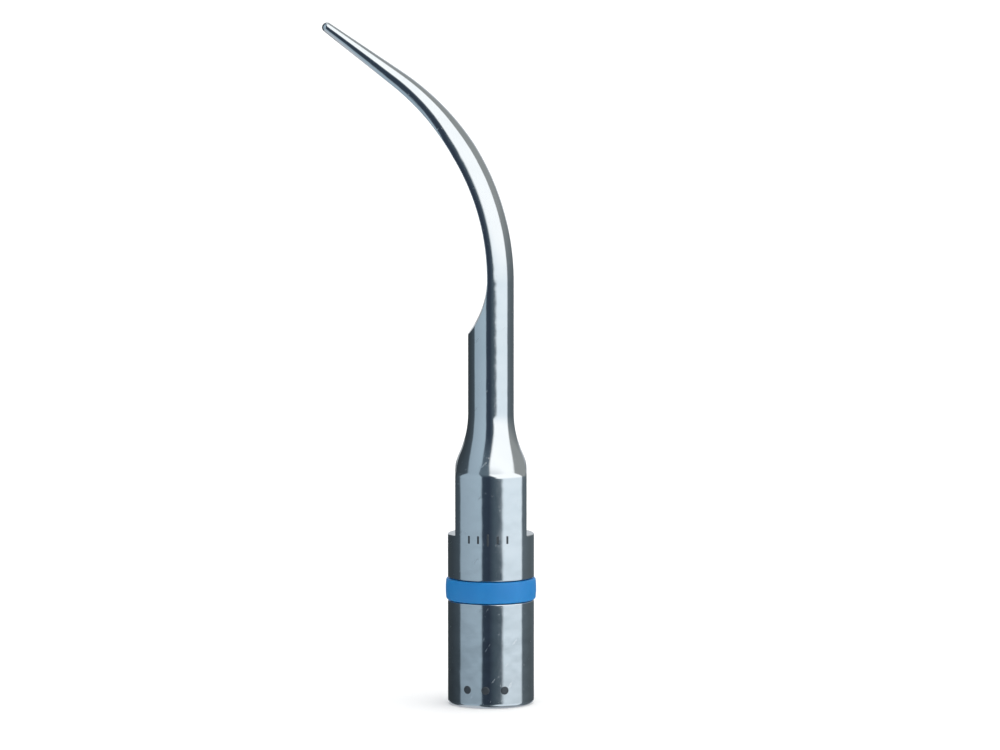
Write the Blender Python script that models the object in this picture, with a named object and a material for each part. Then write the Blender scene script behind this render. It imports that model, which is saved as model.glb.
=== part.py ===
"""Ultrasonic scaler tip: a steel body turned from one bar, with a colour ring in its groove.

The axis of the turned body is +Z. Its seat, which meets the handpiece, is at z = 0, and the
working end is at the top, bent towards -X in the XZ plane. All sizes are in metres.
"""

import math

import bmesh
import bpy
from mathutils import Vector

MM = 0.001

# Turned body
BASE_DIAMETER = 4.00 * MM
BASE_EDGE_RADIUS = 0.20 * MM
SHOULDER_HEIGHT = 10.80 * MM  # top edge of the base, where the flare begins
FLARE_RADIUS = 4.45 * MM  # hollow curve from the shoulder in to the stem
STEM_DIAMETER = 2.12 * MM

# Wrench flats
ACROSS_FLATS = 3.30 * MM
LEDGE_HEIGHT = 7.95 * MM  # foot of the two flats

# Colour ring and its groove
RING_PROUD = 0.10 * MM  # how far the ring stands out from the base
RING_HEIGHT = 1.00 * MM
RING_MIDDLE_HEIGHT = 5.38 * MM
RING_EDGE_RADIUS = 0.12 * MM
GROOVE_DEPTH = 0.27 * MM
RING_CLEARANCE = 0.03 * MM  # all round, between the ring and its groove

# Threaded socket for the handpiece's stud
THREAD_DIAMETER = 3.00 * MM
THREAD_PITCH = 0.50 * MM
THREAD_LENGTH = 4.00 * MM
SOCKET_DEPTH = 4.60 * MM  # full bore, without the drill's point
MOUTH_RELIEF = 0.08 * MM  # how far the countersunk mouth opens outside the thread
DRILL_POINT_ANGLE = math.radians(118)

# Water channel
CHANNEL_DIAMETER = 0.50 * MM
CHANNEL_WALL = 0.31 * MM  # steel left between the channel and the stem's side

# Notch ground into the stem, and the flat that runs on up the inside of the bend
NOTCH_TOP = 19.70 * MM
NOTCH_RADIUS = 4.00 * MM
FLAT_OFFSET = 0.18 * MM  # from the stem's axis to the flat, at the top of the notch
FLAT_FADE = 7.50 * MM  # length of the end over which the flat runs out

# Bent working end
BEND_RADIUS = 11.50 * MM
BEND_ANGLE = math.radians(54)
STRAIGHT_LENGTH = 4.00 * MM
WAIST_THICKNESS = 1.13 * MM
WAIST_TO_END = 8.50 * MM  # the thickness tapers from here to the end
END_THICKNESS = 0.46 * MM

# Fineness of the round surfaces
BODY_SIDES = 48
EDGE_STEPS = 3
FLARE_STEPS = 8
BEND_STEPS = 22
NOSE_STEPS = 4
NOTCH_STEPS = 9
SOCKET_SIDES = 24
CHANNEL_SIDES = 16

OVERSHOOT = 0.50 * MM  # how far a cutter runs past what it cuts

BASE_RADIUS = BASE_DIAMETER / 2
STEM_RADIUS = STEM_DIAMETER / 2
BEND_LENGTH = BEND_RADIUS * BEND_ANGLE
WORKING_LENGTH = BEND_LENGTH + STRAIGHT_LENGTH
ROOT_THICKNESS = STEM_RADIUS + FLAT_OFFSET


def clear_scene():
    for obj in list(bpy.data.objects):
        bpy.data.objects.remove(obj, do_unlink=True)


def steps(count):
    """Fractions from 0 to 1, with count intervals."""
    return [i / count for i in range(count + 1)]


def mix(a, b, share):
    return a + (b - a) * share


# Meshes made of rings


def loft(name, rings, material, closed=False, cutter=False):
    """A solid skin over rings of equal point counts. A closed one joins its last ring to its first."""
    mesh = bpy.data.meshes.new(name)
    bm = bmesh.new()
    rows = [[bm.verts.new(point) for point in ring] for ring in rings]
    following = rows[1:] + rows[:1] if closed else rows[1:]
    for low, high in zip(rows, following):
        for i in range(len(low)):
            j = (i + 1) % len(low)
            bm.faces.new((low[i], low[j], high[j], high[i]))
    if not closed:
        bm.faces.new(rows[0])
        bm.faces.new(rows[-1])
    bmesh.ops.recalc_face_normals(bm, faces=bm.faces)
    bm.to_mesh(mesh)
    bm.free()
    mesh.shade_smooth()
    mesh.set_sharp_from_angle(angle=math.radians(30))
    mesh.materials.append(material)
    obj = bpy.data.objects.new(name, mesh)
    bpy.context.collection.objects.link(obj)
    if cutter:
        obj.hide_render = True
        obj.display_type = "WIRE"
    return obj


def circle(radius, height, sides, x=0.0, turn=0.0):
    """Points of a level circle, the first one towards +X."""
    angles = [2 * math.pi * i / sides + turn for i in range(sides)]
    return [Vector((x + radius * math.cos(a), radius * math.sin(a), height)) for a in angles]


def turned(name, profile, sides, material, closed=False, cutter=False, turn=0.0):
    """A solid of revolution about Z, from (radius, height) points."""
    rings = [circle(radius, height, sides, turn=turn) for radius, height in profile]
    return loft(name, rings, material, closed, cutter)


def quarter_round(centre, radius, start, end):
    """Profile points on an arc between two angles in degrees, 0 along the radius and 90 up the axis."""
    angles = [math.radians(mix(start, end, share)) for share in steps(EDGE_STEPS)]
    return [(centre[0] + radius * math.cos(a), centre[1] + radius * math.sin(a)) for a in angles]


# Tip body


def flare_profile():
    """(radius, height) points up the hollow flare, from the shoulder to the stem, which it meets smoothly."""
    sweep = math.acos(1 - (BASE_RADIUS - STEM_RADIUS) / FLARE_RADIUS)
    top = SHOULDER_HEIGHT + FLARE_RADIUS * math.sin(sweep)
    angles = [sweep * (1 - share) for share in steps(FLARE_STEPS)]
    centre = STEM_RADIUS + FLARE_RADIUS
    return [(centre - FLARE_RADIUS * math.cos(a), top - FLARE_RADIUS * math.sin(a)) for a in angles]


def turned_profile():
    """(radius, height) points up the outside of the body, from the seat to the top of the flare."""
    groove_radius = BASE_RADIUS - GROOVE_DEPTH
    half_groove = RING_HEIGHT / 2 + RING_CLEARANCE
    edge_centre = (BASE_RADIUS - BASE_EDGE_RADIUS, BASE_EDGE_RADIUS)
    profile = quarter_round(edge_centre, BASE_EDGE_RADIUS, -90, 0)
    profile.append((BASE_RADIUS, RING_MIDDLE_HEIGHT - half_groove))
    profile.append((groove_radius, RING_MIDDLE_HEIGHT - half_groove))
    profile.append((groove_radius, RING_MIDDLE_HEIGHT + half_groove))
    profile.append((BASE_RADIUS, RING_MIDDLE_HEIGHT + half_groove))
    return profile + flare_profile()


def bend_frame(along):
    """Middle of the working end's thickness, and its outward and forward directions, at a length along it."""
    angle = min(along, BEND_LENGTH) / BEND_RADIUS
    outward = Vector((math.cos(angle), 0, math.sin(angle)))
    forward = Vector((-math.sin(angle), 0, math.cos(angle)))
    root = Vector((ROOT_THICKNESS / 2 - FLAT_OFFSET, 0, NOTCH_TOP))
    bend_centre = root - Vector((BEND_RADIUS, 0, 0))
    middle = bend_centre + outward * BEND_RADIUS
    return middle + forward * max(along - BEND_LENGTH, 0), outward, forward


def thickness(along):
    waist = WORKING_LENGTH - WAIST_TO_END
    if along < waist:
        return mix(ROOT_THICKNESS, WAIST_THICKNESS, along / waist)
    return mix(WAIST_THICKNESS, END_THICKNESS, (along - waist) / WAIST_TO_END)


def flat_share(along):
    """How far the ground flat lies from the round bar's centre, as a share of its radius."""
    fade_start = WORKING_LENGTH - FLAT_FADE
    return mix(FLAT_OFFSET / STEM_RADIUS, 1, max(along - fade_start, 0) / FLAT_FADE)


def bar_section(along):
    """Centre, outward direction and radius of the round bar that the working end is ground from."""
    middle, outward, _ = bend_frame(along)
    thick = thickness(along)
    radius = thick / (1 + flat_share(along))
    return middle - outward * (radius - thick / 2), outward, radius


def bar_ring(along, shrink=1.0, ahead=0.0):
    centre, outward, radius = bar_section(along)
    forward = bend_frame(along)[2]
    side = Vector((0, 1, 0))
    ring = []
    for i in range(BODY_SIDES):
        angle = 2 * math.pi * i / BODY_SIDES
        around = outward * math.cos(angle) + side * math.sin(angle)
        ring.append(centre + around * (radius * shrink) + forward * ahead)
    return ring


def bar_rings():
    """Rings of the bent, tapering bar and its round nose."""
    rings = [bar_ring(WORKING_LENGTH * share) for share in steps(BEND_STEPS)]
    for i in range(1, NOSE_STEPS + 1):
        angle = math.radians(80) * i / NOSE_STEPS
        rings.append(bar_ring(WORKING_LENGTH, math.cos(angle), END_THICKNESS / 2 * math.sin(angle)))
    return rings


def grinding_cutter(material):
    """What the wheel takes away: the notch in the stem, then the flat on the inside of the bend."""
    wheel_x = -FLAT_OFFSET - NOTCH_RADIUS
    reach = NOTCH_RADIUS - (STEM_RADIUS - FLAT_OFFSET) - OVERSHOOT
    sweep = math.acos(reach / NOTCH_RADIUS)
    outline = []
    for share in steps(NOTCH_STEPS):
        angle = sweep * (1 - share)
        outline.append((wheel_x + NOTCH_RADIUS * math.cos(angle), NOTCH_TOP - NOTCH_RADIUS * math.sin(angle)))
    for i in range(BEND_STEPS):
        along = WORKING_LENGTH * (i + 0.5) / BEND_STEPS
        centre, outward, radius = bar_section(along)
        ground = centre - outward * (radius * flat_share(along))
        outline.append((ground.x, ground.z))
    last = Vector(outline[-1])
    outline.append(tuple(last + (last - Vector(outline[-2])) * 3))
    outline.append((outline[-1][0], outline[0][1]))
    half_width = STEM_RADIUS + OVERSHOOT
    rings = [[Vector((x, y, z)) for x, z in outline] for y in (-half_width, half_width)]
    return loft("grinding_cutter", rings, material, cutter=True)


def flat_cutter(side, material):
    """A block outside one wrench flat. The side is 1 or -1, along X."""
    inner = side * ACROSS_FLATS / 2
    outer = side * (BASE_RADIUS + OVERSHOOT)
    half_width = BASE_RADIUS + OVERSHOOT
    top = flare_profile()[-1][1]
    rings = []
    for z in (LEDGE_HEIGHT, top):
        corners = ((inner, -half_width), (outer, -half_width), (outer, half_width), (inner, half_width))
        rings.append([Vector((x, y, z)) for x, y in corners])
    return loft("flat_cutter", rings, material, cutter=True)


def drill_radius():
    """Radius of an internal thread's crests, by the metric thread's proportions."""
    return THREAD_DIAMETER / 2 - 5 / 8 * THREAD_PITCH * math.cos(math.radians(30))


def drill_cutter(material):
    """The socket's bore, its countersunk mouth and the drill's point."""
    bore = drill_radius()
    mouth = THREAD_DIAMETER / 2 + MOUTH_RELIEF
    point = bore / math.tan(DRILL_POINT_ANGLE / 2)
    blunt = 0.1
    profile = [
        (mouth + OVERSHOOT, -OVERSHOOT),
        (bore, mouth - bore),
        (bore, SOCKET_DEPTH),
        (bore * blunt, SOCKET_DEPTH + point * (1 - blunt)),
    ]
    return turned("drill_cutter", profile, SOCKET_SIDES, material, cutter=True, turn=math.pi / SOCKET_SIDES)


def thread_cutter(material):
    """The V-shaped groove of the thread, as one helical ridge that starts inside the bore."""
    root = drill_radius() * 0.94
    flank = math.tan(math.radians(30))
    crest_half = THREAD_PITCH / 16
    root_half = crest_half + (THREAD_DIAMETER / 2 - root) * flank
    section = (
        (root, -root_half),
        (THREAD_DIAMETER / 2, -crest_half),
        (THREAD_DIAMETER / 2, crest_half),
        (root, root_half),
    )
    start = -THREAD_PITCH
    turns = math.ceil((THREAD_LENGTH - start) / THREAD_PITCH)
    rings = []
    for i in range(turns * SOCKET_SIDES + 1):
        angle = 2 * math.pi * i / SOCKET_SIDES
        rise = start + THREAD_PITCH * i / SOCKET_SIDES
        around = Vector((math.cos(angle), math.sin(angle), 0))
        rings.append([around * radius + Vector((0, 0, rise + z)) for radius, z in section])
    return loft("thread_cutter", rings, material, cutter=True)


def channel_cutter(material):
    """The water channel, from the socket's end to the notch, which it leaves through the slope."""
    radius = CHANNEL_DIAMETER / 2
    x = -(STEM_RADIUS - CHANNEL_WALL - radius)
    rings = [circle(radius, z, CHANNEL_SIDES, x=x) for z in (SOCKET_DEPTH - OVERSHOOT, NOTCH_TOP)]
    return loft("channel_cutter", rings, material, cutter=True)


def make_tip_body(steel):
    rings = [circle(radius, height, BODY_SIDES) for radius, height in turned_profile()]
    body = loft("tip_body", rings + bar_rings(), steel)
    cutters = [
        grinding_cutter(steel),
        flat_cutter(1, steel),
        flat_cutter(-1, steel),
        drill_cutter(steel),
        thread_cutter(steel),
        channel_cutter(steel),
    ]
    for cutter in cutters:
        cut = body.modifiers.new(cutter.name, "BOOLEAN")
        cut.operation = "DIFFERENCE"
        cut.object = cutter
        cutter.parent = body
    return body


# Colour ring


def make_colour_ring(blue):
    """A moulded ring with rounded outer edges. Its own origin is on the axis, at its middle."""
    inner = BASE_RADIUS - GROOVE_DEPTH + RING_CLEARANCE
    outer = BASE_RADIUS + RING_PROUD
    half = RING_HEIGHT / 2
    edge = min(RING_EDGE_RADIUS, (outer - inner) / 2)
    profile = [(inner, -half)]
    profile += quarter_round((outer - edge, -half + edge), edge, -90, 0)
    profile += quarter_round((outer - edge, half - edge), edge, 0, 90)
    profile.append((inner, half))
    ring = turned("colour_ring", profile, BODY_SIDES, blue, closed=True)
    ring.location = (0, 0, RING_MIDDLE_HEIGHT)
    return ring


# Materials


def make_material(name, colour, roughness, metallic):
    material = bpy.data.materials.new(name)
    material.use_nodes = True
    shader = material.node_tree.nodes["Principled BSDF"]
    shader.inputs["Base Color"].default_value = (*colour, 1)
    shader.inputs["Roughness"].default_value = roughness
    shader.inputs["Metallic"].default_value = metallic
    return material


def main():
    clear_scene()
    steel = make_material("polished_steel", (0.62, 0.65, 0.68), 0.12, 1.0)
    blue = make_material("blue_silicone", (0.02, 0.19, 0.55), 0.45, 0.0)
    make_tip_body(steel)
    make_colour_ring(blue)


main()
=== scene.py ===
"""Looks of an ultrasonic scaler tip: polished steel body, blue silicone ring, plain laser marks.

The finely detailed skin and ring replace the two CAD solids and keep their sizes. Sizes below
are in millimetres, with the tip's axis on +Z, its seat at z = 0 and its front towards -Y.
"""

import math

import bpy
import numpy as np
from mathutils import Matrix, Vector


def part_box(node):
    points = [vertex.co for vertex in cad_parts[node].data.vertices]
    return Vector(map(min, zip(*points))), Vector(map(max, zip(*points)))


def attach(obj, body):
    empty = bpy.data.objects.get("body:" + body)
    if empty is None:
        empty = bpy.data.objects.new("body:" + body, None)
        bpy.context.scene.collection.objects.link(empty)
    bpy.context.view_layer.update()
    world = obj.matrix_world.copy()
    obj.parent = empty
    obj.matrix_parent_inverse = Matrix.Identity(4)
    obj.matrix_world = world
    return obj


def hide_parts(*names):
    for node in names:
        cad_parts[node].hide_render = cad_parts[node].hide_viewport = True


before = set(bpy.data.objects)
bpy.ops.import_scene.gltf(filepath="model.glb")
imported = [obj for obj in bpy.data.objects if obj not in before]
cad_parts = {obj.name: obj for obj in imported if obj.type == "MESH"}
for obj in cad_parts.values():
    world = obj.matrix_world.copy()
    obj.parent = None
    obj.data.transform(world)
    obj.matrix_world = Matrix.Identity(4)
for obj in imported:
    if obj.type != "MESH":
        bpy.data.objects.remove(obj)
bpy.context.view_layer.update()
MM = 0.001

# Turned body. CLOSE is how near to an edge the rings on each side of it are set, to keep it crisp.
CLOSE = 0.02
BASE_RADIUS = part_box("tip_body")[1].y / MM
BASE_EDGE_RADIUS = 0.20
SHOULDER_HEIGHT = 10.80
FLARE_RADIUS = 4.45
STEM_RADIUS = 1.06
FLARE_SWEEP = math.acos(1 - (BASE_RADIUS - STEM_RADIUS) / FLARE_RADIUS)
FLARE_TOP = SHOULDER_HEIGHT + FLARE_RADIUS * math.sin(FLARE_SWEEP)

# Wrench flats
FLAT_DISTANCE = 1.65  # from the axis to each flat
LEDGE_HEIGHT = 7.95
LEDGE_EDGE = 0.05  # radius of the ledge's outer edge
LEDGE_CORNER = 0.03  # radius in the corner between ledge and flat
LEDGE_SLOPE = 0.004  # rise of the ledge, so that no two rings lie on each other
CORNER_BLEND = 0.03  # softness of the flats' upright edges
TOP_BLEND = 0.20  # softness where the flats run out into the flare
SHOULDER_BLEND = 0.08

# Colour ring and its groove
RING_LOW, RING_HIGH = (corner.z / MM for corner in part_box("colour_ring"))
RING_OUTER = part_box("colour_ring")[1].y / MM
RING_EDGE_RADIUS = 0.11
RING_INNER_EDGE = 0.03
RING_CROWN = 0.02  # how much fuller the ring is at its middle
CROWN_REACH = 0.759  # share of the ring's half height at which it has lost that much
GROOVE_DEPTH = 0.27
GROOVE_RADIUS = BASE_RADIUS - GROOVE_DEPTH
RING_CLEARANCE = 0.03
GROOVE_EDGE = 0.04

# Threaded socket
THREAD_RADIUS = 1.50
THREAD_PITCH = 0.50
THREAD_LENGTH = 4.00
THREAD_FADE = 0.30
THREAD_TOP = THREAD_LENGTH + 0.10  # where the thread has faded out
BORE_RADIUS = THREAD_RADIUS - 5 / 8 * THREAD_PITCH * math.cos(math.radians(30))
SOCKET_DEPTH = 4.60
MOUTH_RADIUS = 1.58
DRILL_POINT = BORE_RADIUS / math.tan(math.radians(59))

# Water channel
CHANNEL_RADIUS = 0.25
CHANNEL_X = -0.50

# Notch, bend and working end
NOTCH_TOP = 19.70
NOTCH_FOOT = NOTCH_TOP - 2.50
NOTCH_RADIUS = 4.00
FLAT_OFFSET = 0.18  # from the stem's axis to the ground flat
FLAT_FADE = 7.50  # length over which the flat runs out towards the end
BEND_RADIUS = 11.50
BEND_ANGLE = 54  # degrees
BEND_LENGTH = BEND_RADIUS * math.radians(BEND_ANGLE)
STRAIGHT_LENGTH = 4.00
WORKING_LENGTH = BEND_LENGTH + STRAIGHT_LENGTH
ROOT_THICKNESS = STEM_RADIUS + FLAT_OFFSET
WAIST_THICKNESS = 1.13
WAIST_TO_END = 8.50  # from where the taper steepens to the end
END_THICKNESS = 0.46
GROUND_EDGE = 0.03  # radius of the edges beside the ground flat
ROUND_SHARE = 0.9995  # the flat never quite reaches the round side, so no face has zero width

# Laser marks
MARK_PROUD = 0.003
MARK_SUNK = 0.01
TICKS_ACROSS = (-1.06, -0.60, 0.32, 0.78)
TICK_HEIGHTS = (7.66, 8.02)
TALL_TICK_ACROSS = -0.14
TALL_TICK_HEIGHTS = (7.56, 8.12)
TICK_WIDTH = 0.10
TICK_CORNER = 0.02
DOTS_ACROSS = (-1.15, -0.25, 0.65)
DOT_HEIGHT = 0.85
DOT_RADIUS = 0.19

# Camera and floor
LENS_LENGTH = 202.4
SENSOR_WIDTH = 36.0
CAMERA_TARGET = (0.42, 0, 15.3)
CAMERA_DISTANCE = 260.0
CAMERA_TILT = 5.4  # degrees downwards
FLOOR_RADIUS = 3000.0
FLOOR_HEIGHT = -0.002

# Fineness of the skin
HALF_STEPS = 108
CORNER_STEPS = 7
CORNER_SPREAD = 2.4  # degrees each side of a flat's corner with closer points
CLUSTER_SHARE = 0.15  # share of a ground section's points kept close to its edge
CLUSTER_MARGIN = 0.05
ROWS_PER_PITCH = 10
CHANNEL_SIDES = 48
RING_SIDES = 240


# Small helpers


def mix(a, b, share):
    return a + (b - a) * share


def smooth_step(low, high, value):
    share = np.clip((value - low) / (high - low), 0, 1)
    return share * share * (3 - 2 * share)


def smooth_min(a, b, blend):
    """The smaller of two values, with the corner between them rounded over."""
    share = np.clip(0.5 + 0.5 * (b - a) / blend, 0, 1)
    return mix(b, a, share) - blend * share * (1 - share)


def new_object(name, points, faces, materials):
    """A smooth-shaded object from points in millimetres."""
    mesh = bpy.data.meshes.new(name)
    mesh.from_pydata([tuple(point) for point in np.asarray(points) * MM], [], faces)
    for material in materials:
        mesh.materials.append(material)
    mesh.shade_smooth()
    obj = bpy.data.objects.new(name, mesh)
    bpy.context.scene.collection.objects.link(obj)
    return obj


def round_angles(sides):
    return np.arange(sides) * 2 * math.pi / sides


def arc(centre, radius, start, end, count):
    """(radius, height) points on an arc between two angles in degrees, 0 outwards and 90 up."""
    angles = np.radians(np.linspace(start, end, count + 1))
    return [(centre[0] + radius * math.cos(a), centre[1] + radius * math.sin(a)) for a in angles]


# The body's skin is made of rings of points. Each ring is a half section, from +X round to -X,
# and its mirror image.


def half_angles():
    """Angles round half of the turned body, closer together at the corners of the flats."""
    corner = math.degrees(math.acos(FLAT_DISTANCE / BASE_RADIUS))
    near = np.linspace(-CORNER_SPREAD, CORNER_SPREAD, CORNER_STEPS)
    even = np.linspace(0, 180, HALF_STEPS + 1)
    return np.radians(np.sort(np.concatenate([even, corner + near, 180 - corner + near])))


HALF_ANGLES = half_angles()
ANGLES = np.concatenate([HALF_ANGLES, -HALF_ANGLES[-2:0:-1]])
FLAT_LIMIT = FLAT_DISTANCE / np.maximum(np.abs(np.cos(ANGLES)), 1e-3)


def level_ring(radius, height, angles=ANGLES):
    """A level ring. The radius is one number or one for each angle."""
    x = radius * np.cos(angles)
    y = radius * np.sin(angles)
    return np.stack([x, y, np.full(len(angles), height)], axis=1)


def mirrored(x, y):
    """A whole section from its half and the half's mirror image."""
    return np.concatenate([x, x[-2:0:-1]]), np.concatenate([y, -y[-2:0:-1]])


def ground_section(radius, flat):
    """(x, y) of a round bar with a flat ground on its -X side, at a distance from the bar's centre."""
    edge_x = GROUND_EDGE - flat
    edge_y = math.sqrt((radius - GROUND_EDGE) ** 2 - edge_x**2)
    turn = math.atan2(edge_y, edge_x)
    round_part = radius * turn
    edge_part = GROUND_EDGE * (math.pi - turn)
    total = round_part + edge_part + edge_y
    start = max(round_part - CLUSTER_MARGIN, 0)
    stop = min(round_part + edge_part + CLUSTER_MARGIN, total)
    even_share = 1 - CLUSTER_SHARE
    shares = [0, even_share * start / total, even_share * stop / total + CLUSTER_SHARE, 1]
    along = np.interp(np.linspace(0, 1, len(HALF_ANGLES)), shares, [0, start, stop, total])
    around = along / radius
    corner = turn + (along - round_part) / GROUND_EDGE
    on_round = along < round_part
    on_edge = along < round_part + edge_part
    x = np.where(on_edge, edge_x + GROUND_EDGE * np.cos(corner), -flat)
    y = np.where(on_edge, edge_y + GROUND_EDGE * np.sin(corner), edge_y - (along - round_part - edge_part))
    x = np.where(on_round, radius * np.cos(around), x)
    y = np.where(on_round, radius * np.sin(around), y)
    return mirrored(x, y)


def ground_angles():
    """Angles of a ground section's points on a bar that is still round."""
    x, y = ground_section(STEM_RADIUS, STEM_RADIUS * ROUND_SHARE)
    return np.arctan2(y, x)


# Rings of the socket


def thread_radius(height):
    """Radius at each angle of the right-hand internal thread, which fades out at its inner end."""
    turns = height / THREAD_PITCH - ANGLES / (2 * math.pi)
    off_centre = np.abs(turns - np.round(turns)) * THREAD_PITCH
    depth = THREAD_RADIUS - BORE_RADIUS
    flank = math.tan(math.radians(30))
    opening = THREAD_PITCH / 16 + depth * flank
    cut = np.clip((opening - off_centre) / flank, 0, depth)
    fade = np.clip((THREAD_TOP - height) / THREAD_FADE, 0, 1)
    return BORE_RADIUS + cut * fade


def socket_rings():
    """From beside the drill point's tip down through the thread to the countersunk mouth."""
    rings = []
    for share in (0.02, 0.2, 0.4, 0.6, 0.8, 0.95, 0.99):
        rings.append(level_ring(BORE_RADIUS * share, SOCKET_DEPTH + DRILL_POINT * (1 - share)))
    for height in (SOCKET_DEPTH, SOCKET_DEPTH - CLOSE, (SOCKET_DEPTH + THREAD_LENGTH) / 2):
        rings.append(level_ring(BORE_RADIUS, height))
    count = round(THREAD_TOP / THREAD_PITCH * ROWS_PER_PITCH)
    for height in np.linspace(THREAD_TOP, 0, count + 1):
        rings.append(level_ring(np.maximum(thread_radius(height), MOUTH_RADIUS - height), height))
    return rings


# Rings of the turned outside


def flare_radius(height):
    """Radius of the hollow flare, carried on below the shoulder so that the two can be blended."""
    below = min(max(FLARE_TOP - height, 0), FLARE_RADIUS)
    return STEM_RADIUS + FLARE_RADIUS - math.sqrt(FLARE_RADIUS**2 - below**2)


def base_rings():
    """The seat, the base's lower edge and the groove for the colour ring."""
    profile = [(MOUTH_RADIUS + CLOSE, 0), (BASE_RADIUS - BASE_EDGE_RADIUS - CLOSE, 0)]
    profile += arc((BASE_RADIUS - BASE_EDGE_RADIUS, BASE_EDGE_RADIUS), BASE_EDGE_RADIUS, -90, 0, 10)
    low = RING_LOW - RING_CLEARANCE
    high = RING_HIGH + RING_CLEARANCE
    edge_radius = BASE_RADIUS - GROOVE_EDGE
    profile += [(BASE_RADIUS, BASE_EDGE_RADIUS + CLOSE), (BASE_RADIUS, 1.5), (BASE_RADIUS, 3.0)]
    profile += [(BASE_RADIUS, low - GROOVE_EDGE - CLOSE)]
    profile += arc((edge_radius, low - GROOVE_EDGE), GROOVE_EDGE, 0, 90, 6)
    profile += [(edge_radius - CLOSE, low), (GROOVE_RADIUS + CLOSE, low), (GROOVE_RADIUS, low + CLOSE)]
    profile += [(GROOVE_RADIUS, high - CLOSE), (GROOVE_RADIUS + CLOSE, high), (edge_radius - CLOSE, high)]
    profile += arc((edge_radius, high + GROOVE_EDGE), GROOVE_EDGE, -90, 0, 6)
    profile += [(BASE_RADIUS, high + GROOVE_EDGE + CLOSE), (BASE_RADIUS, 7.0)]
    return [level_ring(radius, height) for radius, height in profile]


def ledge_rings():
    """The two ledges at the foot of the flats, from the base's side in to the flats."""
    flats = smooth_min(BASE_RADIUS, FLAT_LIMIT, CORNER_BLEND)
    foot = np.minimum(BASE_RADIUS, flats + LEDGE_CORNER)
    rings = [level_ring(BASE_RADIUS, LEDGE_HEIGHT - LEDGE_EDGE - 0.03)]
    for angle in np.radians(np.linspace(0, 84, 8)):
        radius = BASE_RADIUS - LEDGE_EDGE * (1 - math.cos(angle))
        height = LEDGE_HEIGHT - LEDGE_EDGE * (1 - math.sin(angle))
        rings.append(level_ring(np.maximum(foot, radius), height))
    edge = BASE_RADIUS - LEDGE_EDGE
    for share in (0.0, 0.1, 0.5, 0.9, 1.0):
        height = LEDGE_HEIGHT + LEDGE_SLOPE * share
        rings.append(level_ring(np.maximum(foot, mix(edge, foot, share)), height))
    for angle in np.radians((15, 30, 45, 60, 75, 90)):
        rise = LEDGE_CORNER * (1 - math.cos(angle)) + LEDGE_SLOPE
        radius = flats + LEDGE_CORNER * (1 - math.sin(angle))
        rings.append(level_ring(np.minimum(BASE_RADIUS, radius), LEDGE_HEIGHT + rise))
    return rings


def flats_rings():
    """The flats, the shoulder and the flare up to the stem."""
    heights = [LEDGE_HEIGHT + 0.06, 9.2, 10.3]
    heights += list(np.linspace(10.45, 11.65, 43))
    heights += list(np.linspace(11.75, FLARE_TOP, 24))
    rings = []
    for height in heights:
        turned = smooth_min(BASE_RADIUS, flare_radius(height), SHOULDER_BLEND)
        blend = mix(CORNER_BLEND, TOP_BLEND, smooth_step(10.5, 11.0, height))
        rings.append(level_ring(smooth_min(turned, FLAT_LIMIT, blend), height))
    return rings


def stem_rings():
    """The round stem, along which the points slide from the body's angles to the ground section's."""
    goal = ground_angles()
    rings = []
    for height in np.linspace(FLARE_TOP + 0.1, NOTCH_FOOT - 0.1, 16):
        share = smooth_step(FLARE_TOP + 0.1, NOTCH_FOOT - 0.3, height)
        rings.append(level_ring(STEM_RADIUS, height, mix(ANGLES, goal, share)))
    return rings


def notch_rings():
    """The stem where the round notch cuts ever deeper into its -X side, with close rings at its foot."""
    rings = []
    heights = list(np.linspace(NOTCH_FOOT - 0.07, NOTCH_FOOT + 0.09, 17))
    heights += list(np.linspace(NOTCH_FOOT + 0.14, NOTCH_TOP - 0.08, 36))
    for height in heights:
        below = NOTCH_TOP - height
        flat = FLAT_OFFSET + NOTCH_RADIUS - math.sqrt(NOTCH_RADIUS**2 - below**2)
        flat = float(smooth_min(STEM_RADIUS * ROUND_SHARE, flat, 0.02))
        x, y = ground_section(STEM_RADIUS, flat)
        rings.append(np.stack([x, y, np.full(len(x), height)], axis=1))
    return rings


# Rings of the bent working end


def bend_frame(along):
    """Middle of the thickness, and the outward and forward directions, at a length along the end."""
    angle = min(along, BEND_LENGTH) / BEND_RADIUS
    outward = np.array((math.cos(angle), 0, math.sin(angle)))
    forward = np.array((-math.sin(angle), 0, math.cos(angle)))
    root = np.array((ROOT_THICKNESS / 2 - FLAT_OFFSET, 0, NOTCH_TOP))
    middle = root + (outward - np.array((1, 0, 0))) * BEND_RADIUS
    return middle + forward * max(along - BEND_LENGTH, 0), outward, forward


def thickness(along):
    """Thickness in the plane of the bend, at a length along the end."""
    waist = WORKING_LENGTH - WAIST_TO_END
    if along < waist:
        return mix(ROOT_THICKNESS, WAIST_THICKNESS, along / waist)
    return mix(WAIST_THICKNESS, END_THICKNESS, (along - waist) / WAIST_TO_END)


def bar_ring(along, shrink=1.0, ahead=0.0):
    """A D-shaped ring that turns round towards the end. The nose's rings are shrunk and set ahead."""
    fade = max(along - (WORKING_LENGTH - FLAT_FADE), 0) / FLAT_FADE
    flat_share = mix(FLAT_OFFSET / STEM_RADIUS, 1, fade)
    middle, outward, forward = bend_frame(along)
    radius = thickness(along) / (1 + flat_share)
    centre = middle - outward * (radius - thickness(along) / 2)
    x, y = ground_section(radius, radius * min(flat_share, ROUND_SHARE))
    side = np.array((0, 1, 0))
    around = x[:, None] * outward + y[:, None] * side
    return centre + around * shrink + forward * ahead


def bar_rings():
    rings = [bar_ring(along) for along in np.linspace(0, WORKING_LENGTH, 91)]
    for angle in np.radians(np.linspace(8, 88, 11)):
        rings.append(bar_ring(WORKING_LENGTH, math.cos(angle), END_THICKNESS / 2 * math.sin(angle)))
    return rings


# The tip body


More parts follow.
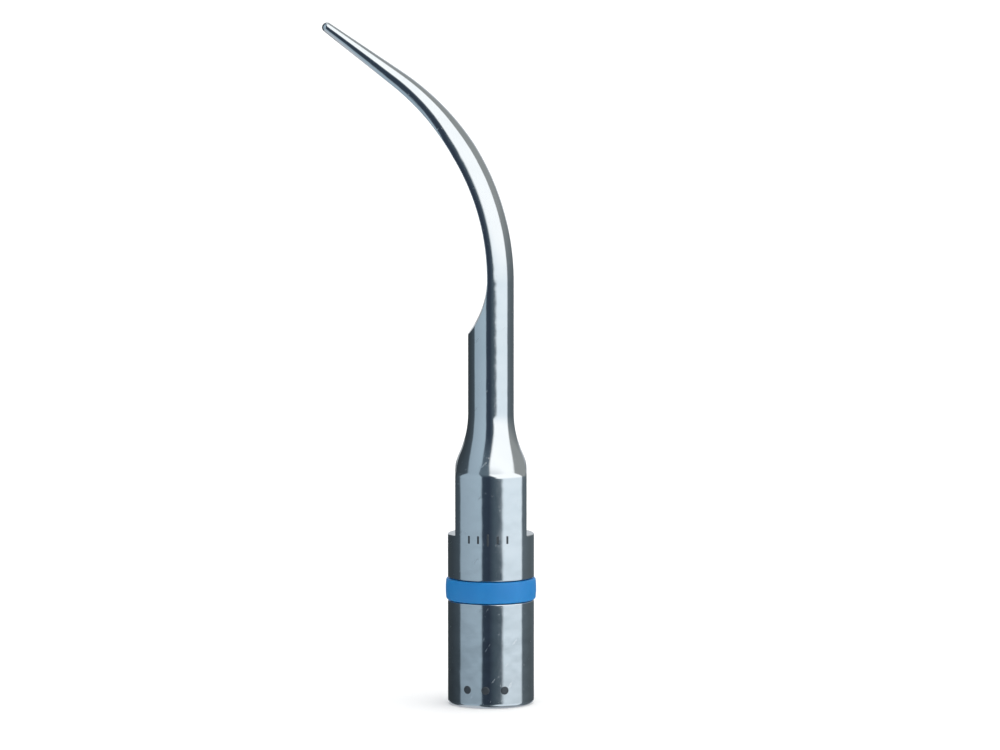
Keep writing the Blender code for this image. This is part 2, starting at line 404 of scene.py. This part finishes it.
def skin_faces(ring_count, size):
    """Quads between neighbouring rings, and a fan onto the single point at each end."""
    faces = []
    for row in range(ring_count - 1):
        low = row * size
        for i in range(size):
            j = (i + 1) % size
            faces.append((low + i, low + j, low + size + j, low + size + i))
    first_point = ring_count * size
    last_ring = first_point - size
    for i in range(size):
        j = (i + 1) % size
        faces.append((j, i, first_point))
        faces.append((last_ring + i, last_ring + j, first_point + 1))
    return faces


def make_body(steel, cut_steel):
    """The whole skin, from the drill point's tip through the socket and up the outside to the nose."""
    socket = socket_rings()
    rings = socket + base_rings() + ledge_rings() + flats_rings()
    rings += stem_rings() + notch_rings() + bar_rings()
    size = len(ANGLES)
    nose, _, forward = bend_frame(WORKING_LENGTH)
    ends = [(0, 0, SOCKET_DEPTH + DRILL_POINT), nose + forward * END_THICKNESS / 2]
    points = np.concatenate(rings + [ends])
    faces = skin_faces(len(rings), size)
    body = new_object("tip_skin", points, faces, [steel, cut_steel])
    drill_tip = len(rings) * size
    in_socket = [max(face[:3]) < len(socket) * size or face[-1] == drill_tip for face in faces]
    body.data.polygons.foreach_set("material_index", [int(inside) for inside in in_socket])
    cut_channel(body, steel, cut_steel)
    return body


def cut_channel(body, steel, cut_steel):
    """Drills the water channel. None of its corners falls on the body's own middle edges."""
    sides = CHANNEL_SIDES
    angles = round_angles(sides) + math.pi / sides
    low, high = SOCKET_DEPTH - 0.3, NOTCH_TOP - 0.2
    rings = [level_ring(CHANNEL_RADIUS, height, angles) + (CHANNEL_X, 0, 0) for height in (low, high)]
    faces = [(i, (i + 1) % sides, sides + (i + 1) % sides, sides + i) for i in range(sides)]
    faces += [tuple(range(sides))[::-1], tuple(range(sides, 2 * sides))]
    cutter = new_object("channel_cutter", np.concatenate(rings), faces, [steel, cut_steel])
    cutter.data.polygons.foreach_set("material_index", [1] * len(faces))
    drill = body.modifiers.new("channel", "BOOLEAN")
    drill.operation = "DIFFERENCE"
    drill.solver = "EXACT"
    drill.object = cutter
    drilled = body.evaluated_get(bpy.context.evaluated_depsgraph_get())
    body.data = bpy.data.meshes.new_from_object(drilled)
    body.modifiers.clear()
    bpy.data.objects.remove(cutter)
    mark_sharp_borders(body.data)


def mark_sharp_borders(mesh):
    """Makes the edges sharp where the outside's faces meet the socket's and the channel's."""
    owner = {}
    for face in mesh.polygons:
        for key in face.edge_keys:
            owner.setdefault(key, set()).add(face.material_index)
    mesh.shade_smooth()
    for edge in mesh.edges:
        edge.use_edge_sharp = len(owner.get(tuple(edge.vertices), (0,))) > 1


# The colour ring


def make_ring(blue):
    """A moulded ring with a slightly full outside and soft edges, as a lathed closed section."""
    inner = GROOVE_RADIUS + RING_CLEARANCE
    middle = (RING_LOW + RING_HIGH) / 2
    half = (RING_HIGH - RING_LOW) / 2
    side = RING_OUTER - RING_CROWN
    profile = [(inner + RING_INNER_EDGE, -half)]
    profile += arc((side - RING_EDGE_RADIUS, RING_EDGE_RADIUS - half), RING_EDGE_RADIUS, -90, -6, 12)
    for share in np.linspace(-0.68, 0.68, 13):
        profile.append((RING_OUTER - RING_CROWN * (share / CROWN_REACH) ** 2, half * share))
    profile += arc((side - RING_EDGE_RADIUS, half - RING_EDGE_RADIUS), RING_EDGE_RADIUS, 6, 90, 12)
    profile += [(inner + RING_INNER_EDGE, half)]
    profile += [(inner, half - RING_INNER_EDGE), (inner, RING_INNER_EDGE - half)]
    sides = RING_SIDES
    angles = round_angles(sides)
    rings = [level_ring(radius, middle + height, angles) for radius, height in profile]
    faces = []
    for row in range(len(rings)):
        low, high = row * sides, (row + 1) % len(rings) * sides
        for i in range(sides):
            j = (i + 1) % sides
            faces.append((low + i, low + j, high + j, high + i))
    return new_object("silicone_ring", np.concatenate(rings), faces, [blue])


# Laser marks: plain ticks and dots that say nothing


def on_base(radius, across, up):
    """Points on the base's front, from distances to the right of its middle line and heights."""
    angles = across / BASE_RADIUS - math.pi / 2
    return np.stack([radius * np.cos(angles), radius * np.sin(angles), up], axis=-1)


def mark_patch(outline):
    """A thin closed solid that follows the base's front, from an outline of (across, up) points."""
    outline = np.array(outline)
    centre = outline.mean(axis=0)
    outside = BASE_RADIUS + MARK_PROUD
    inside = BASE_RADIUS - MARK_SUNK
    rings = []
    for radius, shares in ((outside, (0.35, 0.7, 1.0)), (inside, (1.0, 0.7, 0.35))):
        for share in shares:
            spots = mix(centre, outline, share)
            rings.append(on_base(radius, spots[:, 0], spots[:, 1]))
    ends = [on_base(radius, centre[0], centre[1]) for radius in (outside, inside)]
    faces = [tuple(reversed(face)) for face in skin_faces(len(rings), len(outline))]
    return np.concatenate(rings + [ends]), faces


def tick(across, low, high):
    """Outline of an upright tick with slightly rounded corners."""
    side = TICK_WIDTH / 2 - TICK_CORNER
    corners = (
        (side, low + TICK_CORNER, -90), (side, high - TICK_CORNER, 0),
        (-side, high - TICK_CORNER, 90), (-side, low + TICK_CORNER, 180),
    )
    outline = []
    for x, y, start in corners:
        outline += arc((across + x, y), TICK_CORNER, start + 15, start + 75, 2)
    return outline


def dot(across, up):
    angles = round_angles(20)
    return [(across + DOT_RADIUS * math.cos(a), up + DOT_RADIUS * math.sin(a)) for a in angles]


def make_marks(oxide):
    outlines = [tick(across, *TICK_HEIGHTS) for across in TICKS_ACROSS]
    outlines.append(tick(TALL_TICK_ACROSS, *TALL_TICK_HEIGHTS))
    outlines += [dot(across, DOT_HEIGHT) for across in DOTS_ACROSS]
    points, faces, start = [], [], 0
    for outline in outlines:
        patch_points, patch_faces = mark_patch(outline)
        points.append(patch_points)
        faces += [tuple(start + i for i in face) for face in patch_faces]
        start += len(patch_points)
    return new_object("laser_marks", np.concatenate(points), faces, [oxide])


# Materials


def add_node(tree, kind, inputs=None, **settings):
    """A node with settings and inputs, each input a value or another node's output."""
    node = tree.nodes.new(kind)
    for name, value in settings.items():
        setattr(node, name, value)
    for socket, value in (inputs or {}).items():
        if isinstance(value, bpy.types.NodeSocket):
            tree.links.new(value, node.inputs[socket])
        else:
            node.inputs[socket].default_value = value
    return node


def calculate(tree, operation, *values):
    return add_node(tree, "ShaderNodeMath", dict(enumerate(values)), operation=operation).outputs[0]


def noise(tree, place, scale, detail=2.0, roughness=0.5):
    node = add_node(tree, "ShaderNodeTexNoise", {"Vector": place, "Scale": scale, "Detail": detail})
    node.inputs["Roughness"].default_value = roughness
    return node.outputs["Fac"]


def ranged(tree, value, low, high, to_low, to_high):
    inputs = {"Value": value, "From Min": low, "From Max": high, "To Min": to_low, "To Max": to_high}
    return add_node(tree, "ShaderNodeMapRange", inputs).outputs["Result"]


def mixed(tree, share, low, high):
    """A colour between two, each a value or another node's output."""
    node = add_node(tree, "ShaderNodeMix", data_type="RGBA")
    tree.links.new(share, node.inputs[0])
    for socket, value in zip([s for s in node.inputs if s.type == "RGBA"], (low, high)):
        if isinstance(value, bpy.types.NodeSocket):
            tree.links.new(value, socket)
        else:
            socket.default_value = (*value, 1)
    return next(socket for socket in node.outputs if socket.type == "RGBA")


def new_material(name):
    """A material, its tree, its shader and the place on the object in metres."""
    material = bpy.data.materials.new(name)
    material.use_nodes = True
    tree = material.node_tree
    shader = tree.nodes["Principled BSDF"]
    place = add_node(tree, "ShaderNodeTexCoord").outputs["Object"]
    return material, tree, shader, place


def stretched(tree, place, scale):
    return add_node(tree, "ShaderNodeMapping", {"Vector": place, "Scale": scale}).outputs["Vector"]


def turned_about(tree, place):
    """The same place in axes turned a little each way, so that a stretched pattern runs aslant."""
    inputs = {"Vector": place, "Rotation": (0.5, 0.9, 0.3)}
    return add_node(tree, "ShaderNodeMapping", inputs).outputs["Vector"]


def scaled(tree, colour, factor):
    inputs = {0: colour, "Scale": factor}
    return add_node(tree, "ShaderNodeVectorMath", inputs, operation="SCALE").outputs[0]


def bump(tree, height, strength, distance, normal=None):
    inputs = {"Height": height, "Strength": strength, "Distance": distance}
    if normal is not None:
        inputs["Normal"] = normal
    return add_node(tree, "ShaderNodeBump", inputs).outputs["Normal"]


def make_steel():
    """Polished stainless steel: soft haze, polishing waves, fine turning lines, specks and scratches."""
    material, tree, shader, place = new_material("polished_steel")
    shader.inputs["Metallic"].default_value = 1.0
    haze = noise(tree, place, 450, 3)
    grains = noise(tree, place, 9000, 2)
    rings = noise(tree, stretched(tree, place, (300, 300, 16000)), 1, 3, 0.6)
    tint = mixed(tree, ranged(tree, haze, 0.3, 0.7, 0, 1), (0.59, 0.635, 0.665), (0.64, 0.68, 0.71))
    tree.links.new(tint, shader.inputs["Base Color"])
    specks = ranged(tree, noise(tree, place, 6500, 4, 0.75), 0.66, 0.72, 0, 1)
    streaks = noise(tree, stretched(tree, turned_about(tree, place), (1200, 1200, 9000)), 1, 2, 0.6)
    scratches = ranged(tree, streaks, 0.70, 0.74, 0, 1)
    wear = calculate(tree, "MAXIMUM", specks, scratches)
    hazy = ranged(tree, haze, 0.3, 0.7, 0.08, 0.11)
    rough = calculate(tree, "ADD", hazy, ranged(tree, grains, 0.4, 0.7, 0, 0.03))
    rough = calculate(tree, "MULTIPLY_ADD", wear, 0.22, rough)
    tree.links.new(rough, shader.inputs["Roughness"])
    waved = bump(tree, noise(tree, place, 1300, 1), 1.0, 0.000006)
    turned = bump(tree, rings, 0.10, 0.000002, waved)
    marked = bump(tree, wear, 0.35, 0.000003, turned)
    tree.links.new(bump(tree, grains, 0.06, 0.000002, marked), shader.inputs["Normal"])
    return material


def make_cut_steel():
    """The same steel as the drill and the tap leave it."""
    material, tree, shader, place = new_material("cut_steel")
    shader.inputs["Metallic"].default_value = 1.0
    lines = noise(tree, stretched(tree, place, (800, 800, 24000)), 1, 2)
    tint = mixed(tree, lines, (0.40, 0.42, 0.44), (0.55, 0.57, 0.59))
    tree.links.new(tint, shader.inputs["Base Color"])
    tree.links.new(ranged(tree, lines, 0.3, 0.7, 0.25, 0.4), shader.inputs["Roughness"])
    tree.links.new(bump(tree, lines, 0.3, 0.000005), shader.inputs["Normal"])
    return material


def make_silicone():
    """Blue silicone: satin, finely textured by the mould, with slight cloudiness."""
    material, tree, shader, place = new_material("blue_silicone")
    cloud = noise(tree, place, 700, 3)
    texture = noise(tree, place, 14000, 2)
    tint = mixed(tree, ranged(tree, cloud, 0.3, 0.7, 0, 1), (0.003, 0.185, 0.51), (0.006, 0.215, 0.56))
    tree.links.new(tint, shader.inputs["Base Color"])
    tree.links.new(ranged(tree, texture, 0.3, 0.7, 0.38, 0.5), shader.inputs["Roughness"])
    tree.links.new(bump(tree, texture, 0.25, 0.000004), shader.inputs["Normal"])
    shader.inputs["Subsurface Weight"].default_value = 0.15
    shader.inputs["Subsurface Radius"].default_value = (0.0002, 0.0004, 0.0008)
    shader.inputs["Subsurface Scale"].default_value = 1.0
    return material


def make_oxide():
    """Dark oxide that a marking laser leaves on steel."""
    material, tree, shader, place = new_material("laser_oxide")
    shader.inputs["Metallic"].default_value = 0.6
    grain = noise(tree, place, 16000, 2)
    tint = mixed(tree, grain, (0.045, 0.055, 0.065), (0.09, 0.105, 0.12))
    tree.links.new(tint, shader.inputs["Base Color"])
    tree.links.new(ranged(tree, grain, 0.3, 0.7, 0.45, 0.65), shader.inputs["Roughness"])
    tree.links.new(bump(tree, grain, 0.3, 0.000003), shader.inputs["Normal"])
    return material


# Studio: a light tent with a grey and a dark side, reflected in the steel, on a pale floor


LEFT_EDGE = (0.050, 0.060, 0.065)
LEFT_DARK = (0.055, 0.070, 0.082)
LEFT_DARK_INNER = (0.083, 0.108, 0.129)
LEFT_GREY = (0.43, 0.53, 0.61)
LEFT_GREY_INNER = (0.53, 0.65, 0.74)
CENTRE_LEFT = (0.058, 0.082, 0.112)
CENTRE_DARKEST = (0.040, 0.056, 0.084)
CENTRE_RIGHT = (0.095, 0.130, 0.160)
CENTRE_HIGH = (0.15, 0.20, 0.24)
CENTRE_LOW = (0.11, 0.14, 0.155)
WHITE = (1.06, 1.16, 1.23)
WHITE_HIGH = (1.50, 1.48, 1.46)
WHITE_TOP = (0.98, 1.00, 1.02)
RIGHT_DARK = (0.175, 0.210, 0.235)
RIGHT_DARKER = (0.130, 0.155, 0.170)
SIDE_HIGH = (0.40, 0.41, 0.40)
REAR = (0.62, 0.65, 0.68)
OVERHEAD = (1.35, 1.38, 1.40)
BELOW_LEFT = (0.68, 0.70, 0.74)
BELOW_CENTRE = (0.07, 0.09, 0.11)
BELOW_RIGHT = (0.36, 0.39, 0.42)
SOFT_LEFT = (0.05, 0.05, 0.05)
SOFT_RIGHT = (1.42, 1.42, 1.42)
SOFT_ABOVE = (1.5, 1.5, 1.5)
PAGE = (1.0, 1.0, 1.0)

# Borders in the tent, as (elevation, azimuth) points in degrees
LEFT_BORDER = ((-40, -36), (-12, -28), (-9, -24), (20, -24), (28, -26.5), (50, -37), (62, -55))
RIGHT_BORDER = (
    (-40, 0), (-14, 16), (-9, 33), (-6.8, 31), (-5.3, 28), (-4, 20), (-1, 12),
    (8, 15), (15, 14), (28, 7.5), (54, -6),
)
REAR_BORDER = ((-12, 152), (-10.5, 171), (-1.5, 171), (2, 152))

# How much of the tent's light is left, as (elevation, share) points
LOW_DIM = ((-14.0, 0.95), (-10.5, 0.65), (-9.0, 0.65), (-8.5, 0.78), (-8.0, 0.93), (-7.3, 1.0))


def ramp(tree, azimuth, stops):
    """A colour for each azimuth, from (degrees, colour) stops between -180 and 180."""
    share = calculate(tree, "MULTIPLY_ADD", azimuth, 1 / 360, 0.5)
    node = add_node(tree, "ShaderNodeValToRGB", {"Fac": share})
    elements = node.color_ramp.elements
    elements.remove(elements[1])
    for index, (degrees, colour) in enumerate(stops):
        position = degrees / 360 + 0.5
        element = elements[0] if index == 0 else elements.new(position)
        element.position = position
        element.color = (*colour, 1)
    return node.outputs["Color"]


def curve(tree, value, points):
    """A piecewise straight function of a value, from (value, result) points."""
    result = points[0][1]
    for (low, at_low), (high, at_high) in zip(points, points[1:]):
        step = ranged(tree, value, float(low), float(high), 0.0, float(at_high - at_low))
        result = calculate(tree, "ADD", result, step)
    return result


def border(tree, azimuth, elevation, points, softness):
    """0 to 1 across an upright border whose azimuth changes with elevation, in degrees."""
    beyond = calculate(tree, "SUBTRACT", azimuth, curve(tree, elevation, points))
    return ranged(tree, beyond, -softness, softness, 0.0, 1.0)


def tent_colour(tree, azimuth, elevation):
    """What the polished steel reflects from each direction: 0 is the front and 90 the right."""
    left = ramp(tree, azimuth, (
        (-160, LEFT_EDGE), (-125, LEFT_DARK), (-92, LEFT_DARK_INNER),
        (-88, LEFT_GREY), (-28, LEFT_GREY_INNER),
    ))
    centre = ramp(tree, azimuth, (
        (-30, CENTRE_LEFT), (-5, CENTRE_DARKEST), (10, CENTRE_RIGHT), (30, CENTRE_RIGHT),
    ))
    centre = mixed(tree, ranged(tree, elevation, 20.0, 60.0, 0.0, 1.0), centre, CENTRE_HIGH)
    centre = mixed(tree, ranged(tree, elevation, -10.0, -30.0, 0.0, 1.0), centre, CENTRE_LOW)
    side = ramp(tree, azimuth, ((93, RIGHT_DARK), (125, RIGHT_DARKER)))
    side = mixed(tree, ranged(tree, elevation, -5.0, 14.0, 0.0, 1.0), side, SIDE_HIGH)
    white = mixed(tree, ranged(tree, elevation, -7.5, 4.0, 0.0, 1.0), WHITE, WHITE_HIGH)
    white = mixed(tree, ranged(tree, elevation, 56.0, 68.0, 0.0, 1.0), white, WHITE_TOP)
    right = mixed(tree, ranged(tree, azimuth, 89.0, 93.5, 0.0, 1.0), white, side)
    tent = mixed(tree, border(tree, azimuth, elevation, LEFT_BORDER, 2.0), left, centre)
    tent = mixed(tree, border(tree, azimuth, elevation, RIGHT_BORDER, 3.5), tent, right)
    tent = scaled(tree, tent, curve(tree, elevation, LOW_DIM))
    behind = border(tree, calculate(tree, "ABSOLUTE", azimuth), elevation, REAR_BORDER, 3.0)
    tent = mixed(tree, behind, tent, REAR)
    tent = mixed(tree, ranged(tree, elevation, 74.0, 84.0, 0.0, 1.0), tent, OVERHEAD)
    below = ramp(tree, azimuth, (
        (-40, BELOW_LEFT), (-34, BELOW_CENTRE), (24, BELOW_CENTRE),
        (32, BELOW_RIGHT), (140, BELOW_RIGHT), (160, BELOW_LEFT),
    ))
    return mixed(tree, ranged(tree, elevation, -38.0, -46.0, 0.0, 1.0), tent, below)


def soft_colour(tree, axes):
    """What lights the matt surfaces: a soft white, stronger from the right and from above."""
    across = ranged(tree, axes.outputs["X"], -0.5, 0.75, 0.0, 1.0)
    sides = mixed(tree, across, SOFT_LEFT, SOFT_RIGHT)
    above = ranged(tree, axes.outputs["Z"], 0.25, 0.9, 0.0, 1.0)
    return mixed(tree, above, sides, SOFT_ABOVE)


def make_world(scene):
    """The tent for reflections, the soft light for matt surfaces and a plain white page."""
    world = bpy.data.worlds.new("studio")
    world.use_nodes = True
    tree = world.node_tree
    tree.nodes.clear()
    direction = add_node(tree, "ShaderNodeTexCoord").outputs["Generated"]
    axes = add_node(tree, "ShaderNodeSeparateXYZ", {"Vector": direction})
    towards_front = calculate(tree, "MULTIPLY", axes.outputs["Y"], -1.0)
    turn = calculate(tree, "ARCTAN2", axes.outputs["X"], towards_front)
    rise = calculate(tree, "ARCSINE", axes.outputs["Z"])
    azimuth = calculate(tree, "MULTIPLY", turn, 180 / math.pi)
    elevation = calculate(tree, "MULTIPLY", rise, 180 / math.pi)
    rays = add_node(tree, "ShaderNodeLightPath").outputs
    tent = tent_colour(tree, azimuth, elevation)
    light = mixed(tree, rays["Is Diffuse Ray"], tent, soft_colour(tree, axes))
    light = mixed(tree, rays["Is Camera Ray"], light, PAGE)
    background = add_node(tree, "ShaderNodeBackground", {"Color": light, "Strength": 1.0})
    add_node(tree, "ShaderNodeOutputWorld", {"Surface": background.outputs[0]})
    scene.world = world


def make_floor():
    """A wide pale floor just under the seat, lit a little from within so that shadows stay faint."""
    sides = 96
    points = level_ring(FLOOR_RADIUS, FLOOR_HEIGHT, round_angles(sides))
    material, tree, shader, place = new_material("pale_floor")
    cloud = noise(tree, place, 3, 2)
    tint = mixed(tree, cloud, (0.93, 0.93, 0.93), (0.95, 0.95, 0.95))
    tree.links.new(tint, shader.inputs["Base Color"])
    shader.inputs["Roughness"].default_value = 0.9
    shader.inputs["Emission Color"].default_value = (1.0, 1.0, 1.0, 1.0)
    shader.inputs["Emission Strength"].default_value = 0.10
    floor = new_object("floor", points, [tuple(range(sides))], [material])
    floor.visible_glossy = False


def make_camera(scene):
    """A long lens, just above the tip's middle and looking slightly down."""
    target = Vector(CAMERA_TARGET) * MM
    tilt = math.radians(CAMERA_TILT)
    forward = Vector((0, math.cos(tilt), -math.sin(tilt)))
    data = bpy.data.cameras.new("camera")
    data.sensor_width = SENSOR_WIDTH
    data.lens = LENS_LENGTH
    data.clip_start = 0.01
    data.clip_end = 20.0
    camera = bpy.data.objects.new("camera", data)
    camera.location = target - forward * CAMERA_DISTANCE * MM
    camera.rotation_mode = "QUATERNION"
    camera.rotation_quaternion = forward.to_track_quat("-Z", "Y")
    scene.collection.objects.link(camera)
    scene.camera = camera


def main():
    scene = bpy.context.scene
    scene.view_settings.view_transform = "Standard"
    body = make_body(make_steel(), make_cut_steel())
    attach(body, "tip")
    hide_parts("tip_body")
    ring = make_ring(make_silicone())
    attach(ring, "ring")
    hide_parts("colour_ring")
    marks = make_marks(make_oxide())
    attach(marks, "tip")
    make_world(scene)
    make_floor()
    make_camera(scene)


main()
